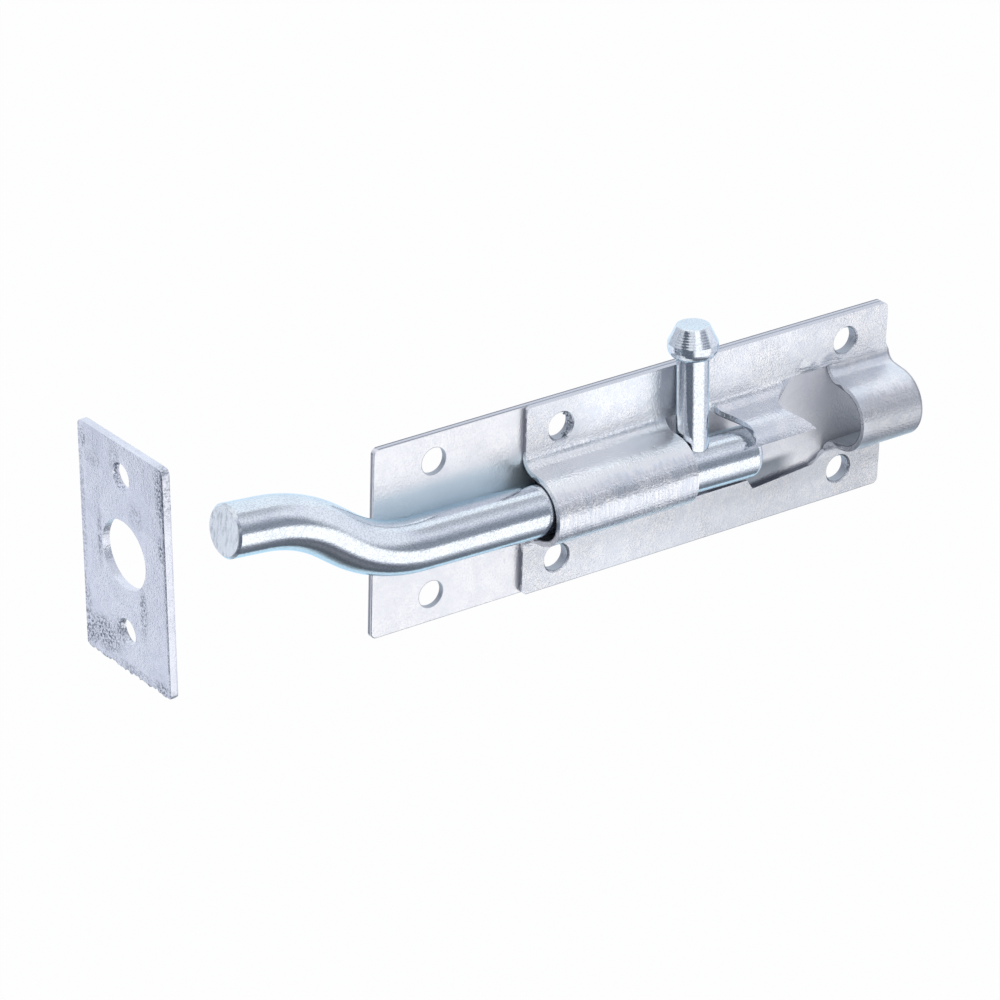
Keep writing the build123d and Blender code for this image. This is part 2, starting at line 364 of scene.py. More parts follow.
def new_group(name, inputs, outputs):
    """A shader node group from inputs as (label, kind, value) and outputs as (label, kind)."""
    group = bpy.data.node_groups.new(name, "ShaderNodeTree")
    for label, kind, value in inputs:
        socket = group.interface.new_socket(label, in_out="INPUT", socket_type=kind)
        if value is not None:
            socket.default_value = value
    for label, kind in outputs:
        group.interface.new_socket(label, in_out="OUTPUT", socket_type=kind)
    return group, add_node(group, "NodeGroupInput").outputs, add_node(group, "NodeGroupOutput").inputs


def noise_value(tree, vector, scale, detail, rough, stretch=None, distortion=0.0):
    """Noise on a place, which may be stretched by three factors first."""
    if stretch is not None:
        mapping = add_node(tree, "ShaderNodeMapping")
        plug(tree, vector, mapping.inputs["Vector"])
        plug(tree, stretch, mapping.inputs["Scale"])
        vector = mapping.outputs[0]
    node = add_node(tree, "ShaderNodeTexNoise")
    plug(tree, vector, node.inputs["Vector"])
    plug(tree, scale, node.inputs["Scale"])
    plug(tree, detail, node.inputs["Detail"])
    plug(tree, rough, node.inputs["Roughness"])
    plug(tree, distortion, node.inputs["Distortion"])
    return node.outputs["Fac"]


zinc, given, made = new_group(
    "zinc_skin",
    [
        ("Vector", VECTOR, None), ("Cloud Scale", FLOAT, 260.0), ("Streaks", FLOAT, 0.5),
        ("Specks", FLOAT, 0.3), ("Dullness", FLOAT, 0.2),
        ("Dark", COLOUR, (0.55, 0.57, 0.66, 1)), ("Light", COLOUR, (0.86, 0.87, 0.9, 1)),
    ],
    [("Color", COLOUR), ("Roughness", FLOAT), ("Height", FLOAT)],
)
WIDE_CLOUDS, STREAKS, PEEL, SPECKS = 75.0, 1900.0, 2300.0, 3300.0
where = given["Vector"]
clouds = noise_value(zinc, where, given["Cloud Scale"], 6.0, 0.68, distortion=0.8)
streak = noise_value(zinc, where, STREAKS, 3.0, 0.6, stretch=(1.0, 0.22, 0.14))
peel = noise_value(zinc, where, PEEL, 2.0, 0.6)
cloud_mask = smooth_step(zinc, clouds, 0.33, 0.64)
wide_mask = smooth_step(zinc, noise_value(zinc, where, WIDE_CLOUDS, 2.0, 0.5), 0.36, 0.62)
streak_mask = smooth_step(zinc, streak, 0.36, 0.64)
speck_mask = smooth_step(zinc, noise_value(zinc, where, SPECKS, 2.0, 0.6), 0.50, 0.64)
print("Zinc skin patterns take", len(zinc.nodes), "nodes")

# %% Node group: what the zinc skin gives
pale = math_node(zinc, "MULTIPLY_ADD", cloud_mask, 0.55, times(zinc, wide_mask, 0.45))
centred = math_node(zinc, "SUBTRACT", streak_mask, 0.5)
pale = math_node(zinc, "MULTIPLY_ADD", centred, given["Streaks"], pale)
pale = math_node(zinc, "MULTIPLY_ADD", times(zinc, speck_mask, -1.0), given["Specks"], pale, clamp=True)
relief = math_node(zinc, "MULTIPLY_ADD", clouds, 0.35, times(zinc, streak, 0.5, given["Streaks"]))
peel_amount = math_node(zinc, "MULTIPLY_ADD", wide_mask, 0.55, 0.2)
relief = math_node(zinc, "MULTIPLY_ADD", peel, peel_amount, relief)
plug(zinc, mix_colour(zinc, pale, given["Dark"], given["Light"]), made["Color"])
plug(zinc, math_node(zinc, "MULTIPLY_ADD", pale, -0.07, given["Dullness"]), made["Roughness"])
plug(zinc, relief, made["Height"])
print("Zinc skin group has", len(zinc.nodes), "nodes")

# %% [markdown]
# The plates' cut edges, the holes' walls and the line where the two sheets touch are darker than
# the skin. This is partly painted shade, because less light gets there, and partly real, because
# zinc is thinner on an edge. Both large plates show them, so each of the three is a node group
# that puts out a mask.

# %% Node groups: edge band, sheet joint and hole wall
SHEET = 1.1 * MM


def step_mm(tree, value, low, high, start=0.0, end=1.0):
    """A smooth step between two places in mm."""
    return smooth_step(tree, value, low * MM, high * MM, start, end)


def fall_mm(tree, value, low, high):
    """A smooth fall between two places in mm."""
    return step_mm(tree, value, low, high, 1.0, 0.0)


edge_band, given, made = new_group(
    "edge_band",
    [("Vector", VECTOR, None), ("Outward", VECTOR, (0, 0, 1)), ("Edge", FLOAT, 0.0), ("Width", FLOAT, 0.0)],
    [("Mask", FLOAT)],
)
outwards = add_node(edge_band, "ShaderNodeVectorMath", operation="DOT_PRODUCT")
plug(edge_band, given["Vector"], outwards.inputs[0])
plug(edge_band, given["Outward"], outwards.inputs[1])
band_start = math_node(edge_band, "SUBTRACT", given["Edge"], given["Width"])
plug(edge_band, smooth_step(edge_band, outwards.outputs["Value"], band_start, given["Edge"]), made["Mask"])

sheet_joint, given, made = new_group("sheet_joint", [("Vector", VECTOR, None)], [("Mask", FLOAT)])
_, depth, _ = split_xyz(sheet_joint, given["Vector"])
from_joint = math_node(sheet_joint, "ABSOLUTE", math_node(sheet_joint, "ADD", depth, SHEET))
plug(sheet_joint, fall_mm(sheet_joint, from_joint, 0.10, 0.28), made["Mask"])

hole_wall, given, made = new_group(
    "hole_wall",
    [("Vector", VECTOR, None), ("Along", FLOAT, 0.0), ("Height", FLOAT, 0.0), ("Radius", FLOAT, 0.0)],
    [("Mask", FLOAT)],
)
along, _, height = split_xyz(hole_wall, given["Vector"])
across = math_node(hole_wall, "SUBTRACT", along, given["Along"])
up = math_node(hole_wall, "SUBTRACT", math_node(hole_wall, "ABSOLUTE", height), given["Height"])
squared = math_node(hole_wall, "MULTIPLY_ADD", across, across, times(hole_wall, up, up))
wall_start = math_node(hole_wall, "ADD", given["Radius"], 0.02 * MM)
wall_end = math_node(hole_wall, "ADD", given["Radius"], 0.2 * MM)
inside = smooth_fall(hole_wall, math_node(hole_wall, "SQRT", squared), wall_start, wall_end)
plug(hole_wall, inside, made["Mask"])
print("Edge groups have", [len(group.nodes) for group in (edge_band, sheet_joint, hole_wall)], "nodes")

# %% [markdown]
# A sheet's material puts the zinc skin on a metal shader. The skin gives colour, roughness and a
# height, and a Bump node turns the height into the fine unevenness that scatters the reflections.
# Real displacement would look the same at this size and cost far more points.

# %% Sheet material
def principled(name, metallic):
    """A fresh material: itself, its nodes, its shader and the place on the piece."""
    material = bpy.data.materials.new(name)
    material.use_nodes = True
    tree = material.node_tree
    shader = tree.nodes["Principled BSDF"]
    shader.inputs["Metallic"].default_value = metallic
    return material, tree, shader, add_node(tree, "ShaderNodeTexCoord").outputs["Object"]


def place_group(tree, group, place, **values):
    """Places a group, gives it the place on the piece and sets its inputs by name."""
    node = add_node(tree, "ShaderNodeGroup", node_tree=group, name=group.name)
    plug(tree, place, node.inputs["Vector"])
    for label, value in values.items():
        plug(tree, value, node.inputs[label.replace("_", " ").title()])
    return node.outputs


def add_relief(tree, height, distance, socket):
    """A Bump node from a height to a Normal socket."""
    bump = add_node(tree, "ShaderNodeBump", name="relief")
    bump.inputs["Strength"].default_value = 1.0
    bump.inputs["Distance"].default_value = distance
    plug(tree, height, bump.inputs["Height"])
    plug(tree, bump.outputs[0], socket)


def zinc_sheet(name, metallic, relief, shift=(0, 0, 0), **marks):
    """Galvanised sheet. The marks are the zinc skin's inputs, and shift moves its pattern."""
    material, tree, shader, place = principled(name, metallic)
    moved = add_node(tree, "ShaderNodeMapping")
    plug(tree, place, moved.inputs["Vector"])
    plug(tree, shift, moved.inputs["Location"])
    skin = place_group(tree, zinc, moved.outputs[0], **marks)
    plug(tree, skin["Color"], shader.inputs["Base Color"])
    plug(tree, skin["Roughness"], shader.inputs["Roughness"])
    add_relief(tree, skin["Height"], relief, shader.inputs["Normal"])
    return material, tree, shader, place


backing_skin, tree, shader, place = zinc_sheet(
    "backing_zinc", 0.85, 0.12 * MM, cloud_scale=240.0, streaks=0.06, specks=0.7, dullness=0.36,
    dark=(0.88, 0.88, 0.92), light=(0.99, 0.98, 0.99),
)
print("Backing zinc starts with", len(tree.nodes), "nodes")

# %% [markdown]
# The backing plate is flat and pale. Where the barrel lies over it, it sees little of the studio:
# it is greenish in front of the barrel, greyer towards the far end, and nearly black in the gap
# under the bar. These shades could come from the light alone, but the thin gap is too shallow for
# that, so they are painted on its front by place.

# %% Backing plate: shade behind the barrel
def mix_into_base(shader, colour, *masks):
    """Mixes a colour into the base where all the masks are 1."""
    tree = shader.id_data
    under = shader.inputs["Base Color"].links[0].from_socket
    plug(tree, mix_colour(tree, times(tree, *masks), under, colour), shader.inputs["Base Color"])


GAP_DARK = (0.19, 0.22, 0.26)
FAR_GREY = (0.50, 0.56, 0.59)
SEA_TINT = (0.80, 0.92, 0.97)

along, depth, height = split_xyz(tree, place)
below = times(tree, height, -1.0)
from_middle = math_node(tree, "ABSOLUTE", height)
front_face = fall_mm(tree, depth, -1.05, -0.9)
by_barrel = times(tree, fall_mm(tree, from_middle, 7.5, 11.0), front_face)
in_barrel = times(tree, by_barrel, step_mm(tree, along, 30, 40))
gap_under_bar = times(
    tree,
    step_mm(tree, below, 6.6, 8.2),
    step_mm(tree, along, 60, 66, 0.85, 0.0),
    step_mm(tree, along, 40, 46),
    front_face,
)
mix_into_base(shader, GAP_DARK, gap_under_bar)
towards_end = math_node(tree, "MULTIPLY_ADD", height, -0.7, along)
far_shade = step_mm(tree, towards_end, 62, 84, 0.0, 0.22)
mix_into_base(shader, FAR_GREY, in_barrel, far_shade)
before_barrel = step_mm(tree, along, 0.0, 12, 0.75, 0.0)
upper_half = step_mm(tree, height, -4, 2)
mix_into_base(shader, SEA_TINT, by_barrel, before_barrel, upper_half)
plain_rough = shader.inputs["Roughness"].links[0].from_socket
plug(tree, math_node(tree, "MULTIPLY_ADD", in_barrel, 0.25, plain_rough), shader.inputs["Roughness"])
print("Backing zinc with its shades has", len(tree.nodes), "nodes")

# %% Backing plate: edges and holes
TOP, BOTTOM, REAR, FRONT = (0, 0, 1), (0, 0, -1), (1, 0, 0), (-1, 0, 0)
EDGE_ZINC = (0.66, 0.67, 0.72)
EDGE_GREY = (0.30, 0.31, 0.35)
WALL_SHADE_GREY = (0.24, 0.25, 0.29)
JOINT_GREY = (0.40, 0.41, 0.46)
HOLE_GREY = (0.42, 0.45, 0.50)
TOP_EDGE_SHADE = (0.22, 0.23, 0.27)
HOLE_HEIGHT, HOLE_RADIUS = 13.4, 2.65
FRONT_HOLES, REAR_HOLES = 7.8, 74.9


def edge_mask(tree, place, outward, edge, width):
    """1 at a straight edge of a plate, fading over the width before it, both in mm."""
    return place_group(tree, edge_band, place, outward=outward, edge=edge * MM, width=width * MM)["Mask"]


def shade_hole_walls(tree, shader, place, columns):
    """Paints shade on the walls of pairs of screw holes at the given places along the plate, in mm."""
    walls = []
    for column in columns:
        hole = place_group(
            tree, hole_wall, place, along=column * MM, height=HOLE_HEIGHT * MM, radius=HOLE_RADIUS * MM)
        walls.append(hole["Mask"])
    mix_into_base(shader, HOLE_GREY, largest(tree, *walls))


top_edge = edge_mask(tree, place, TOP, 18.95, 0.12)
mix_into_base(shader, EDGE_ZINC, top_edge)
# Painted shade: the rear strip of the top edge is darker.
mix_into_base(shader, TOP_EDGE_SHADE, top_edge, step_mm(tree, depth, -0.42, -0.22))
mix_into_base(shader, EDGE_GREY, edge_mask(tree, place, BOTTOM, 18.92, 0.14), 0.7)
front_edge = edge_mask(tree, place, FRONT, 32.98, 0.1)
# Painted shade: the rear half of the front wall is darker.
mix_into_base(shader, WALL_SHADE_GREY, front_edge, step_mm(tree, depth, -0.80, -0.55), 0.85)
mix_into_base(shader, JOINT_GREY, place_group(tree, sheet_joint, place)["Mask"], top_edge)
shade_hole_walls(tree, shader, place, [-19.9, FRONT_HOLES, REAR_HOLES])
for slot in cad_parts["backing_plate"].material_slots:
    slot.material = backing_skin
print("Backing zinc has", len(tree.nodes), "nodes")

# %% [markdown]
# The barrel plate went through the press before the zinc bath, so its skin changes from part to
# part: the flanges are greyer than the barrel, the front sleeve is streaked, and the rear sleeve
# is dull. Some of the tone is painted light and shade: bands by height on the curved sleeves, a
# darker rear sleeve and a lighter patch on the upper flange. Separate materials would leave hard
# borders, so one material has soft masks for the parts, and a tone that each mask makes lighter
# or darker.

# %% Barrel plate: masks for its parts
barrel_skin, tree, shader, place = zinc_sheet(
    "barrel_zinc", 0.86, 0.20 * MM, (0.3, 0, 0), cloud_scale=420.0, specks=0.75,
    dark=(0.80, 0.835, 0.90), light=(1.0, 0.99, 1.0),
)
along, depth, height = split_xyz(tree, place)
below = times(tree, height, -1.0)
from_middle = math_node(tree, "ABSOLUTE", height)
flange = step_mm(tree, from_middle, 8.5, 10.5)
barrel = smooth_fall(tree, flange, 0.0, 1.0)
lower_flange = step_mm(tree, below, 8.5, 10.5)
upper_flange = step_mm(tree, height, 9.5, 12)
outer_flange = step_mm(tree, from_middle, 12, 16)
far_end = step_mm(tree, along, 15, 60)
front_part = fall_mm(tree, along, 34, 46)
rear_sleeve = times(tree, step_mm(tree, along, 68, 74), barrel)
print("Barrel zinc with its parts has", len(tree.nodes), "nodes")

# %% Barrel plate: ragged bands of painted light and shade, and pale patches
def ragged_band(tree, height, rise, fall):
    """1 between two heights, each given as where it starts and ends to change, in mm."""
    return times(tree, step_mm(tree, height, *rise), fall_mm(tree, height, *fall))


def soft_patch(tree, along, centre, near, far):
    """1 round a place along the plate, fading between two distances from it, in mm."""
    from_centre = math_node(tree, "ABSOLUTE", math_node(tree, "SUBTRACT", along, centre * MM))
    return fall_mm(tree, from_centre, near, far)


tears = noise_value(tree, place, 1500.0, 3.0, 0.65, stretch=(1.0, 0.2, 0.2))
torn = math_node(tree, "SUBTRACT", tears, 0.5)
torn_height = math_node(tree, "MULTIPLY_ADD", torn, 2.2 * MM, height)
# These bands follow the height on the curved sleeves, so their tones below are painted light and shade.
painted_shade_band = ragged_band(tree, torn_height, (0.7, 1.9), (2.6, 3.6))
upper_side = times(tree, ragged_band(tree, torn_height, (3.3, 4.4), (5.6, 6.4)), front_part)
painted_light_band = ragged_band(tree, torn_height, (4.4, 5.9), (7.0, 9.4))
painted_light_patch = times(tree, upper_flange, soft_patch(tree, along, 20, 3, 11))
pale_patch = times(tree, upper_flange, soft_patch(tree, along, 52, 6, 16))
print("Barrel zinc with its bands has", len(tree.nodes), "nodes")

# %% Barrel plate: tone, streaks and dullness
tone = 1.0
for mask, amount in (
    (flange, -0.18),
    (times(tree, lower_flange, far_end), -0.16),
    (outer_flange, 0.09),
    # painted shade: a darker band by height on the front sleeve
    (times(tree, painted_shade_band, front_part), -0.17),
    # painted light: a lighter band by height on both sleeves
    (times(tree, painted_light_band, rear_sleeve), 0.30),
    (times(tree, painted_light_band, front_part), 0.32),
    # painted shade on the front sleeve's upper side
    (upper_side, -0.05),
    # painted light on the upper flange
    (painted_light_patch, 0.16),
    (pale_patch, 0.08),
    # painted shade: the rear sleeve is darker
    (rear_sleeve, -0.29),
):
    tone = math_node(tree, "MULTIPLY_ADD", mask, amount, tone)
tone_grey = add_node(tree, "ShaderNodeCombineColor")
for socket in tone_grey.inputs:
    plug(tree, tone, socket)
under = shader.inputs["Base Color"].links[0].from_socket
toned = mix_colour(tree, 1.0, under, tone_grey.outputs[0], "MULTIPLY")
plug(tree, toned, shader.inputs["Base Color"])
skin = tree.nodes["zinc_skin"].inputs
front_sleeve = times(tree, barrel, front_part)
plug(tree, math_node(tree, "MULTIPLY_ADD", front_sleeve, 0.75, 0.06), skin["Streaks"])
dullness = math_node(tree, "MULTIPLY_ADD", rear_sleeve, 0.12, 0.23)
plug(tree, math_node(tree, "MULTIPLY_ADD", upper_side, 0.16, dullness), skin["Dullness"])
print("Barrel zinc with its tone has", len(tree.nodes), "nodes")

# %% [markdown]
# Along its cuts the sheet shows a dark line on the inner side, and inside the barrel the skin is
# dim and greenish. Both are painted shade, where less light gets in. Place alone can't find those,
# because the cuts wind about. The piece will carry two attributes for them, made further down
# with its mesh.

# %% Barrel plate: cut edges, edges and holes
def read_attribute(tree, name):
    """A number that the mesh carries under this name."""
    return add_node(tree, "ShaderNodeAttribute", attribute_name=name).outputs["Fac"]


INNER_SHADE_GREY = (0.40, 0.45, 0.48)
CUT_SHADE_DARK = (0.17, 0.18, 0.22)

cut = read_attribute(tree, "cut_edge")
sheet_depth = read_attribute(tree, "sheet_depth")
# Painted shade inside the barrel: dim and greenish.
inner_shade = times(tree, smooth_step(tree, sheet_depth, 0.9, 1.0), smooth_fall(tree, cut, 0.2, 0.6))
mix_into_base(shader, INNER_SHADE_GREY, inner_shade, 0.45)
# Painted shade: a dark line on the inner side of the cuts.
cut_shade = times(tree, cut, smooth_step(tree, sheet_depth, 0.74, 0.92))
mix_into_base(shader, CUT_SHADE_DARK, cut_shade, 0.85)
low_edge = edge_mask(tree, place, BOTTOM, 18.92, 0.14)
rear_edge = edge_mask(tree, place, REAR, 85.5, 0.2)
mix_into_base(shader, EDGE_GREY, largest(tree, low_edge, rear_edge), 0.6)
front_edge = edge_mask(tree, place, FRONT, -0.12, 0.1)
# Painted shade: the rear half of the flanges' front wall is darker.
mix_into_base(shader, WALL_SHADE_GREY, front_edge, flange, step_mm(tree, depth, -1.85, -1.60), 0.85)
top_edge = edge_mask(tree, place, TOP, 18.9, 0.1)
mix_into_base(shader, EDGE_ZINC, top_edge)
mix_into_base(shader, JOINT_GREY, place_group(tree, sheet_joint, place)["Mask"], top_edge)
shade_hole_walls(tree, shader, place, [FRONT_HOLES, REAR_HOLES])
print("Barrel zinc has", len(tree.nodes), "nodes")

# %% [markdown]
# The keeper plate has the same zinc with dark smudges of grit, left by handling: a large one below
# the big hole, and smaller ones along the edges. Noise alone would spread them evenly. So ovals
# say where grit may lie, as on the real plate, and noise breaks it into grains.

# %% Keeper plate: zinc with smudges
SMUDGES = [
    # y, z, half width, half height, all in mm, and strength
    (0.6, -1.9, 5.2, 3.4, 1.0), (4.8, -3.0, 2.2, 3.2, 1.0), (-4.5, 0.8, 2.2, 2.6, 0.8),
    (-11.7, 7.0, 1.2, 4.8, 0.8), (-18.0, 32.5, 1.4, 6.5, 0.9), (-4.6, 34.0, 1.8, 3.0, 0.5),
    (5.4, 1.5, 1.1, 4.5, 0.7), (-17.8, 22.0, 1.0, 2.6, 0.9), (-18.0, 35.5, 2.2, 1.2, 0.5),
    (5.0, 34.5, 0.9, 2.2, 0.8), (-16.5, -5.5, 2.5, 1.4, 0.9), (-8.0, -5.6, 6.0, 1.0, 0.5),
    (5.6, 20.0, 0.6, 14.0, 0.5), (-10.5, 25.5, 2.2, 2.6, 0.45), (1.6, 31.5, 2.0, 1.6, 0.35),
    (0.9, 16.5, 0.7, 6.0, 0.7),
]
GRIT_DARK = (0.15, 0.17, 0.21)

keeper_skin, tree, shader, place = zinc_sheet(
    "keeper_zinc", 0.8, 0.14 * MM, (0, 0.2, 0), cloud_scale=260.0, streaks=0.0, specks=0.45, dullness=0.30,
    dark=(0.78, 0.80, 0.88), light=(0.90, 0.915, 0.98),
)
_, left, height = split_xyz(tree, place)
right_hand = times(tree, left, -1.0)
below = times(tree, height, -1.0)
gritty = [
    times(tree, step_mm(tree, right_hand, 18.45, 18.75, 0.0, 0.8), fall_mm(tree, right_hand, 18.85, 18.95)),
    times(tree, step_mm(tree, left, 5.3, 6.2), step_mm(tree, height, 4.0, 9.0, 1.0, 0.45)),
    step_mm(tree, below, 5.9, 6.5, 0.0, 0.8),
]
for y, z, half_width, half_height, strength in SMUDGES:
    gap = oval_gap(tree, left, height, (y * MM, z * MM), (half_width * MM, half_height * MM))
    gritty.append(smooth_step(tree, gap, 0.0, 1.6, strength, 0.0))
grains = smooth_step(tree, noise_value(tree, place, 1900.0, 4.0, 0.75), 0.46, 0.56)
stray = smooth_step(tree, noise_value(tree, place, 2200.0, 2.0, 0.6), 0.62, 0.70, 0.0, 0.30)
mix_into_base(shader, GRIT_DARK, largest(tree, times(tree, largest(tree, *gritty), grains), stray))
print("Keeper zinc has", len(gritty), "gritty places and", len(tree.nodes), "nodes")

# %% [markdown]
# The bar and the knob are bright zinc plate over drawn steel. Drawing leaves grain along the bar,
# and turning leaves it round the knob, so the edges of the dark stripes break up into fine specks.
# Both have the same group, and only the stretch of the grain differs. An anisotropic shader would
# smear the stripes instead, and the photograph shows them crisp.

# %% Node group: drawn grain
PLATE_DIM = (0.8532, 0.8964, 0.9504)
PLATE_PALE = (0.9164, 0.9628, 1.0)
PIT_GREY = (0.1975, 0.2075, 0.22)

grain, given, made = new_group(
    "drawn_grain",
    [
        ("Vector", VECTOR, None), ("Stretch", VECTOR, (1, 1, 1)),
        ("Pits", FLOAT, 0.24), ("Specks", FLOAT, 0.15),
    ],
    [("Color", COLOUR), ("Roughness", FLOAT), ("Height", FLOAT)],
)
fine = noise_value(grain, given["Vector"], 3600.0, 2.0, 0.6, stretch=given["Stretch"])
sparse = noise_value(grain, given["Vector"], 4600.0, 1.0, 0.5, stretch=given["Stretch"])
broad = noise_value(grain, given["Vector"], 240.0, 2.0, 0.5)
plate = mix_colour(grain, smooth_step(grain, broad, 0.3, 0.7), PLATE_DIM, PLATE_PALE)
pits = times(grain, smooth_step(grain, fine, 0.42, 0.62), given["Pits"])
plug(grain, mix_colour(grain, pits, plate, PIT_GREY), made["Color"])
plug(grain, math_node(grain, "MULTIPLY_ADD", fine, 0.05, 0.01), made["Roughness"])
specks = times(grain, smooth_step(grain, sparse, 0.56, 0.70), given["Specks"])
plug(grain, math_node(grain, "SUBTRACT", fine, specks), made["Height"])
print("Drawn grain group has", len(grain.nodes), "nodes")

# %% Bright plate, and the bar's sawn end
END_SLOPE = math.radians(5.0)
SAWN_ZINC = (0.97, 0.99, 1.0)


def bright_plate(name, stretch, relief):
    """Zinc plate on drawn or turned steel. The stretch is small along the grain."""
    material, tree, shader, place = principled(name, 1.0)
    plug(tree, (0.78, 0.93, 1.0), shader.inputs["Specular Tint"])
    skin = place_group(tree, grain, place, stretch=stretch)
    plug(tree, skin["Color"], shader.inputs["Base Color"])
    plug(tree, skin["Roughness"], shader.inputs["Roughness"])
    add_relief(tree, skin["Height"], relief, shader.inputs["Normal"])
    return material, tree, shader, place


bar_skin, tree, shader, place = bright_plate("plated_bar", (0.7, 1.0, 1.0), 0.018 * MM)
off_the_end = (-math.cos(END_SLOPE), 0, math.sin(END_SLOPE))
sawn_end = edge_mask(tree, place, off_the_end, 69.05, 0.15)
saw_noise = noise_value(tree, place, 620.0, 6.0, 0.68, stretch=(1.0, 2.0, 0.8))
mix_into_base(shader, SAWN_ZINC, sawn_end)
mix_into_base(shader, HOLE_GREY, sawn_end, smooth_step(tree, saw_noise, 0.46, 0.66, 0.0, 0.55))
plain_rough = shader.inputs["Roughness"].links[0].from_socket
plug(tree, math_node(tree, "MULTIPLY_ADD", sawn_end, 0.35, plain_rough), shader.inputs["Roughness"])
plug(tree, smooth_step(tree, sawn_end, 0.0, 1.0, 1.0, 0.85), shader.inputs["Metallic"])
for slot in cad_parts["bolt_rod"].material_slots:
    slot.material = bar_skin
print("Bar's plate has", len(tree.nodes), "nodes")

# %% [markdown]
# The knob's head was turned on a lathe, and the tool left rings about half a millimetre apart,
# clearest on its front and left side. Rings cut in the mesh would need far more points, so a sine
# along the knob gives them as a second relief under the grain.

# %% Knob: turned rings
RING_PITCH = 0.46 * MM
KNOB_X, KNOB_Y = 35.45 * MM, -5.08 * MM

knob_skin, tree, shader, place = bright_plate("plated_knob", (1.0, 1.0, 0.6), 0.015 * MM)
across, depth, height = split_xyz(tree, place)
up_knob = math_node(tree, "MULTIPLY_ADD", depth, 0.05, height)
wobble = times(tree, noise_value(tree, place, 700.0, 2.0, 0.6), 2.5)
rings = math_node(tree, "SINE", math_node(tree, "MULTIPLY_ADD", up_knob, 2 * math.pi / RING_PITCH, wobble))
on_head = step_mm(tree, up_knob, 21.8, 22.4)
below_top = fall_mm(tree, up_knob, 27.2, 27.5)
out_left = math_node(tree, "MULTIPLY_ADD", across, -0.5, 0.5 * KNOB_X)
out_front = math_node(tree, "MULTIPLY_ADD", depth, -0.866, 0.866 * KNOB_Y)
out_facing = math_node(tree, "ADD", out_left, out_front)
ringed_side = step_mm(tree, out_facing, 1.4, 3.0, 0.15, 1.0)
rings = times(tree, rings, on_head, below_top, ringed_side)
add_relief(tree, rings, 0.0045 * MM, tree.nodes["relief"].inputs["Normal"])
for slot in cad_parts["knob"].material_slots:
    slot.material = knob_skin
print("Knob's plate has", len(tree.nodes), "nodes")

# %% [markdown]
# The barrel plate was pressed from sheet and then dipped. The press left soft dents by the corners
# of the cuts, and the dip left low waves. Sculpting could give them, but they must stay tiny and in
# place, so code pushes the points of a copy of the drawing's mesh. Its long triangles are split
# first, until each is short enough to follow a dent.

# %% Copy of the barrel plate
LONGEST_EDGE = 1.7 * MM
SPLIT_ROUNDS = 8
DOUBLES_GAP = 0.002 * MM


def only_active(piece):
    """Selects one piece alone and makes it the active one."""
    bpy.ops.object.select_all(action="DESELECT")
    piece.select_set(True)
    bpy.context.view_layer.objects.active = piece


def select_long_edges(piece):
    """Selects the edges that are too long, in edit mode, and counts them."""
    edit = bmesh.from_edit_mesh(piece.data)
    bpy.ops.mesh.select_mode(type="EDGE")
    bpy.ops.mesh.select_all(action="DESELECT")
    count = 0
    for edge in edit.edges:
        edge.select = edge.calc_length() > LONGEST_EDGE
        count += edge.select
    bmesh.update_edit_mesh(piece.data)
    return count


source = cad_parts["barrel_plate"]
barrel_piece = source.copy()
barrel_piece.data = source.data.copy()
barrel_piece.name = "pressed_barrel"
barrel_piece.parent = None
scene.collection.objects.link(barrel_piece)
only_active(barrel_piece)
if barrel_piece.data.has_custom_normals:
    bpy.ops.mesh.customdata_custom_splitnormals_clear()
bpy.ops.object.mode_set(mode="EDIT")
bpy.ops.mesh.select_all(action="SELECT")
bpy.ops.mesh.remove_doubles(threshold=DOUBLES_GAP)
for _ in range(SPLIT_ROUNDS):
    if not select_long_edges(barrel_piece):
        break
    bpy.ops.mesh.subdivide(number_cuts=1)
    bpy.ops.mesh.select_all(action="SELECT")
    bpy.ops.mesh.quads_convert_to_tris(quad_method="SHORTEST_DIAGONAL")
bpy.ops.object.mode_set(mode="OBJECT")
barrel_piece.data.materials.clear()
barrel_piece.data.materials.append(barrel_skin)
print("Pressed barrel has", len(barrel_piece.data.polygons), "faces")

# %% Barrel plate: marks for its cut edges and inner skin
CREST_Y = -6.2 * MM


def sheet_normal(y, z):
    """Direction out through the sheet, at a place of the barrel's section."""
    side = 1.0 if z > 0 else -1.0
    if abs(z) > 10.6 * MM:
        return Vector((0, -1, 0))
    if y < CREST_Y:
        return Vector((0, y - CREST_Y, z)).normalized()
    if y < -4.4 * MM:
        return Vector((0, -0.12, side)).normalized()
    return Vector((0, -4.3 * MM - y, side * 10.2 * MM - z)).normalized()


def mark_sheet(piece):
    """Marks cut edges by how far a face looks along the sheet, and which points are inside."""
    piece.data.attributes.new("cut_edge", "FLOAT", "CORNER")
    piece.data.attributes.new("sheet_depth", "FLOAT", "POINT")
    cuts = piece.data.attributes["cut_edge"].data
    depths = piece.data.attributes["sheet_depth"].data
    outer = set()
    for face in piece.data.polygons:
        through = face.normal.dot(sheet_normal(face.center.y, face.center.z))
        mark = min(1.0, max(0.0, (1.0 - abs(through) - 0.35) / 0.4))
        for corner in face.loop_indices:
            cuts[corner].value = mark
        if through > 0.65:
            outer.update(face.vertices)
    for point in piece.data.vertices:
        depths[point.index].value = 0.0 if point.index in outer else 1.0
    return len(outer)


print("Outer skin has", mark_sheet(barrel_piece), "points")

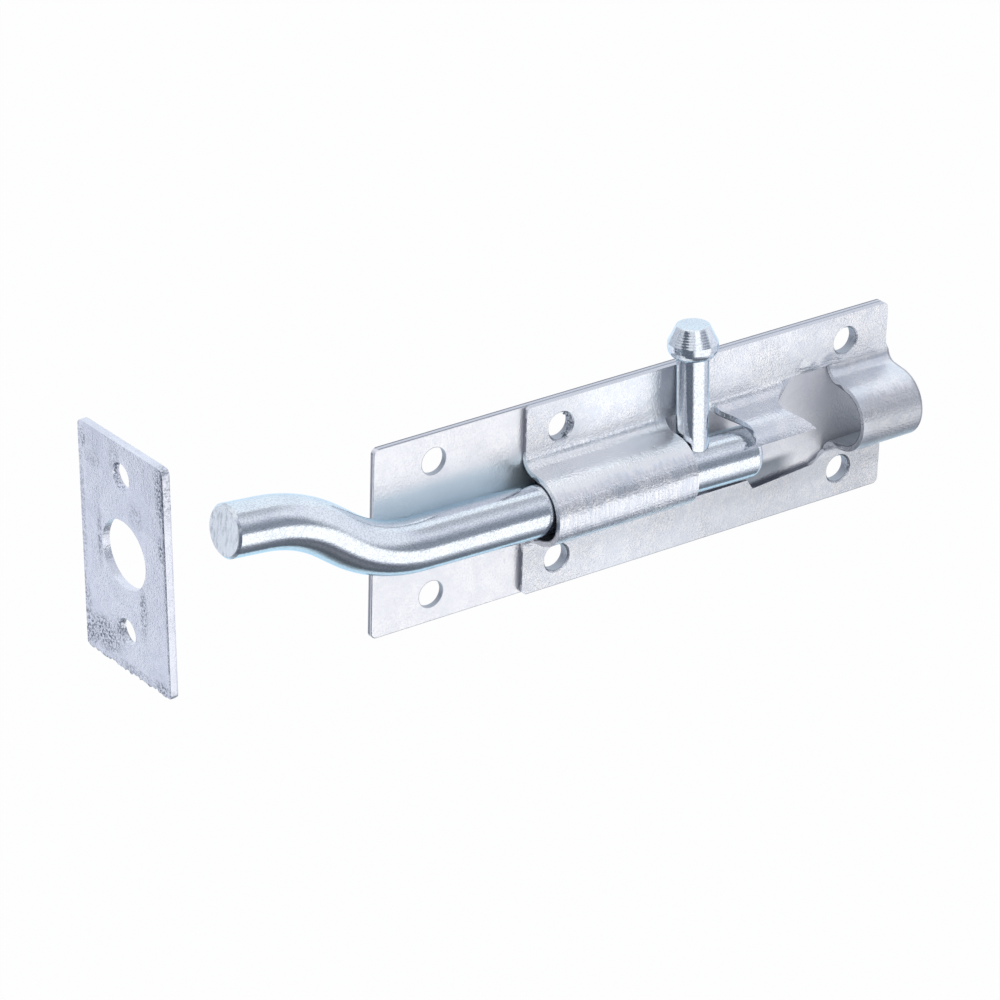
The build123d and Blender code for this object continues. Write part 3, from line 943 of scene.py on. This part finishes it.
# %% Barrel plate: dents, swell and waves
DENTS = [
    # x, y, z, radius, push along x, y, z, all in mm
    (71.5, -3.5, 9.8, 2.6, 0, 0.5, 0),
    (66.0, -3.2, 10.5, 2.2, 0, -0.35, 0),
    (44.5, -5.5, 8.0, 2.4, 0, -0.30, 0.2),
    (76.0, -7.0, -6.5, 3.2, 0, -0.1, -0.5),
    (12.0, -12.5, 2.0, 7.0, 0, 0.15, 0),
    (82.0, -2.2, -16.0, 4.5, 0, 0.25, 0),
]
SWELL = 0.32 * MM
SWELL_LOW, SWELL_HIGH = math.radians(-75), math.radians(6)
SWELL_LENGTH = 33 * MM
SMOOTH_ANGLE = math.radians(38)


def press_dents(point, place):
    """Pushes a point by each dent that reaches it."""
    for x, y, z, radius, *push in DENTS:
        gap = (place - Vector((x, y, z)) * MM).length / (radius * MM)
        if gap < 1.0:
            point.co += Vector(push) * MM * (1 - gap * gap) ** 2


def swell_front_sleeve(point, place):
    """Makes the lower front of the front sleeve a little fuller, as the press left it."""
    turn = math.atan2(place.z, CREST_Y - place.y)
    on_sleeve = place.x < SWELL_LENGTH and place.y < CREST_Y + 3 * MM
    if on_sleeve and SWELL_LOW < turn < SWELL_HIGH:
        reach = (SWELL_HIGH - turn) / (SWELL_HIGH - SWELL_LOW)
        swell = math.sin(math.pi * reach) ** 2 * SWELL
        point.co.y -= swell * math.cos(turn)
        point.co.z += swell * math.sin(turn)


def wave_skin(point, place):
    """Gives the outer skin the dip's low waves, and keeps the outline straight."""
    if place.y < -1.3 * MM and abs(place.z) < 19 * MM:
        wave = noise.noise(place * 90.0) * 0.05 * MM
        lump = noise.noise(place * 420.0 + Vector((7, 3, 1))) * 0.03 * MM
        point.co.y -= max(0.0, wave + lump) * 0.5
        if abs(place.z) < 18.8 * MM:
            point.co.z += lump * 0.4


largest_move = 0.0
for point in barrel_piece.data.vertices:
    place = point.co.copy()
    press_dents(point, place)
    swell_front_sleeve(point, place)
    wave_skin(point, place)
    largest_move = max(largest_move, (point.co - place).length)
barrel_piece.data.update()
bpy.ops.object.shade_smooth_by_angle(angle=SMOOTH_ANGLE)
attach(barrel_piece, "barrel")
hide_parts("barrel_plate")
print("Largest push in mm:", round(largest_move / MM, 2))

# %% [markdown]
# The keeper plate was cut and dipped too, and the zinc ran down and froze in a ragged line along
# its lower edge. The drawing's plate has too few points there, so it is modelled anew: a flat
# block with rounded corners, cut into narrow columns, whose lowest points noise pulls up.

# %% Keeper plate: blank with rounded corners
KEEPER_THICK, KEEPER_WIDE, KEEPER_HIGH = 1.5 * MM, 25.5 * MM, 44.5 * MM
KEEPER_DROP = 1.0 * MM
KEEPER_LOW = -KEEPER_HIGH / 2 - KEEPER_DROP
KEEPER_COLUMNS = 68


def bisect_all(place, direction):
    """Cuts the whole mesh by a plane, in edit mode, and keeps both sides."""
    bpy.ops.mesh.select_all(action="SELECT")
    bpy.ops.mesh.bisect(plane_co=place, plane_no=direction)


bpy.ops.object.select_all(action="DESELECT")
bpy.ops.mesh.primitive_cube_add(
    size=1.0, location=(0, 0, -KEEPER_DROP), scale=(KEEPER_THICK, KEEPER_WIDE, KEEPER_HIGH))
keeper = bpy.context.object
keeper.name = "keeper_with_ragged_edge"
bpy.ops.object.transform_apply(location=True, rotation=False, scale=True)
bpy.ops.object.mode_set(mode="EDIT")
bpy.ops.mesh.select_mode(type="EDGE")
bpy.ops.mesh.select_all(action="DESELECT")
edit = bmesh.from_edit_mesh(keeper.data)
for edge in edit.edges:
    edge.select = abs((edge.verts[0].co - edge.verts[1].co).x) > 1 * MM
bmesh.update_edit_mesh(keeper.data)
bpy.ops.mesh.bevel(offset=1.1 * MM, segments=4, profile=0.5)
for step in range(1, KEEPER_COLUMNS):
    bisect_all((0, -KEEPER_WIDE / 2 + step * KEEPER_WIDE / KEEPER_COLUMNS, 0), (0, 1, 0))
for level in (1.4 * MM, 0.7 * MM):
    bisect_all((0, 0, KEEPER_LOW + level), (0, 0, 1))
for layer in (-0.3 * MM, 0.3 * MM):
    bisect_all((layer, 0, 0), (1, 0, 0))
bpy.ops.object.mode_set(mode="OBJECT")
print("Keeper blank has", len(keeper.data.polygons), "faces")

# %% Keeper plate: ragged lower edge and soft edges
RAGGED = 0.75 * MM

for point in keeper.data.vertices:
    low = (KEEPER_LOW + RAGGED - point.co.z) / RAGGED
    if low > 0.01:
        place = point.co.copy()
        short_drips = noise.noise(Vector((place.x * 350, place.y * 1000, 3.0))) * 0.75
        long_drips = noise.noise(Vector((0, place.y * 330, 9.0))) * 0.6
        point.co.z += min(low, 1.0) * max(0.02, short_drips + long_drips + 0.42) * MM
        point.co.x += min(low, 1.0) * noise.noise(place * 1100.0) * 0.14 * MM
soft = keeper.modifiers.new("soft_edges", "BEVEL")
soft.width = 0.16 * MM
soft.segments = 2
soft.limit_method = "ANGLE"
soft.angle_limit = math.radians(50)
bpy.ops.object.modifier_apply(modifier=soft.name)
print("Keeper with soft edges has", len(keeper.data.polygons), "faces")

# %% Keeper plate: holes
SCREW_HEIGHT = 15.1
KEEPER_HOLES = [
    # height and radius in mm: the bar's hole and two screw holes
    (0.0, 6.5), (SCREW_HEIGHT, 2.55), (-SCREW_HEIGHT, 2.55),
]

for height, radius in KEEPER_HOLES:
    bpy.ops.mesh.primitive_cylinder_add(
        vertices=72, radius=radius * MM, depth=6 * MM,
        location=(0, 0, height * MM), rotation=(0, math.pi / 2, 0))
    drill = bpy.context.object
    cut = keeper.modifiers.new("drill", "BOOLEAN")
    cut.operation = "DIFFERENCE"
    cut.solver = "EXACT"
    cut.object = drill
    bpy.context.view_layer.objects.active = keeper
    bpy.ops.object.modifier_apply(modifier=cut.name)
    bpy.data.objects.remove(drill)
print("Keeper has", len(KEEPER_HOLES), "holes and", len(keeper.data.polygons), "faces")

# %% [markdown]
# Zinc also freezes in crumbs on the walls of two screw holes. Their outline shows against the white
# background, so they are not painted but small balls with noisy points, joined to their piece.

# %% Zinc crumbs in the keeper's upper screw hole
def crumbs(spots, size, seed):
    """Small lumps of zinc at the spots, as one mesh."""
    bpy.ops.object.select_all(action="DESELECT")
    made = []
    for place, spot in enumerate(spots):
        pick = noise.noise(Vector((seed, place * 3.7, 1.3)))
        bpy.ops.mesh.primitive_ico_sphere_add(subdivisions=2, radius=size * (1.0 + 0.6 * pick), location=spot)
        lump = bpy.context.object
        bpy.ops.object.transform_apply(location=True)
        for point in lump.data.vertices:
            point.co += Vector((1, 1, 1)) * noise.noise(point.co * 2500.0) * size * 0.35
        made.append(lump)
    for lump in made:
        lump.select_set(True)
    bpy.context.view_layer.objects.active = made[0]
    bpy.ops.object.join()
    return bpy.context.object


def stick_to(piece, lumps):
    """Joins the lumps to the piece."""
    lumps.select_set(True)
    piece.select_set(True)
    bpy.context.view_layer.objects.active = piece
    bpy.ops.object.join()


CRUMB_REACH = 2.5 * MM

spots = []
for step in range(16):
    turn = math.radians(-75 + step * 11)
    depth = (-0.5 + 0.07 * step) * MM if step % 2 else 0.25 * MM
    spots.append((depth, CRUMB_REACH * math.cos(turn), SCREW_HEIGHT * MM + CRUMB_REACH * math.sin(turn)))
stick_to(keeper, crumbs(spots, 0.30 * MM, 4.0))
print("Keeper has", len(spots), "crumbs")

# %% Zinc crumbs in the barrel plate's upper front screw hole
spots = []
for step in range(13):
    turn = math.radians(-62 + step * 10)
    reach = (2.55 if step % 2 else 2.25) * MM
    level = (-1.35 - 0.32 * (step % 3)) * MM
    along = FRONT_HOLES * MM + reach * math.cos(turn)
    spots.append((along, level, HOLE_HEIGHT * MM + reach * math.sin(turn)))
spots += [(9.4 * MM, -2.15 * MM, 10.75 * MM), (9.0 * MM, -2.1 * MM, 10.85 * MM)]
hole_lumps = crumbs(spots, 0.36 * MM, 9.0)
hole_lumps.data.materials.clear()
hole_lumps.data.materials.append(barrel_skin)
stick_to(barrel_piece, hole_lumps)
print("Barrel plate has", len(spots), "crumbs")

# %% [markdown]
# In the photograph the keeper stands loose before the bar, leaned back and swung a little, and it
# is put there. Its ragged points are kept inside the drawing's box.

# %% Keeper plate: put in its place
KEEPER_PLACE = Vector((-88.27, -6.35, 16.42)) * MM
KEEPER_SWING, KEEPER_LEAN = math.radians(1.4), math.radians(-2.3)
BOX_MARGIN = 0.01 * MM

only_active(keeper)
turned = Matrix.Rotation(KEEPER_SWING, 4, "Z") @ Matrix.Rotation(KEEPER_LEAN, 4, "Y")
keeper.matrix_world = Matrix.Translation(KEEPER_PLACE) @ turned
bpy.ops.object.transform_apply(location=True, rotation=True, scale=True)
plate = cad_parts["keeper_plate"]
corners = [plate.matrix_world @ Vector(corner) for corner in plate.bound_box]
sides = [(min(side), max(side)) for side in zip(*corners)]
for point in keeper.data.vertices:
    for axis, (least, most) in enumerate(sides):
        inside = min(most - BOX_MARGIN, point.co[axis])
        point.co[axis] = max(least + BOX_MARGIN, inside)
keeper.data.materials.clear()
keeper.data.materials.append(keeper_skin)
bpy.ops.object.mode_set(mode="EDIT")
bpy.ops.mesh.select_all(action="SELECT")
bpy.ops.mesh.quads_convert_to_tris()
bpy.ops.object.mode_set(mode="OBJECT")
bpy.ops.object.shade_smooth_by_angle(angle=SMOOTH_ANGLE)
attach(keeper, "barrel")
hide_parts("keeper_plate")
print("Keeper has", len(keeper.data.polygons), "faces")

# %% [markdown]
# The last cell prints the size of the dressed part, and ends.

# %% Finish
low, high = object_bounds()
print("Dressed box in mm:", [[round(v / MM, 1) for v in corner] for corner in (low, high)])
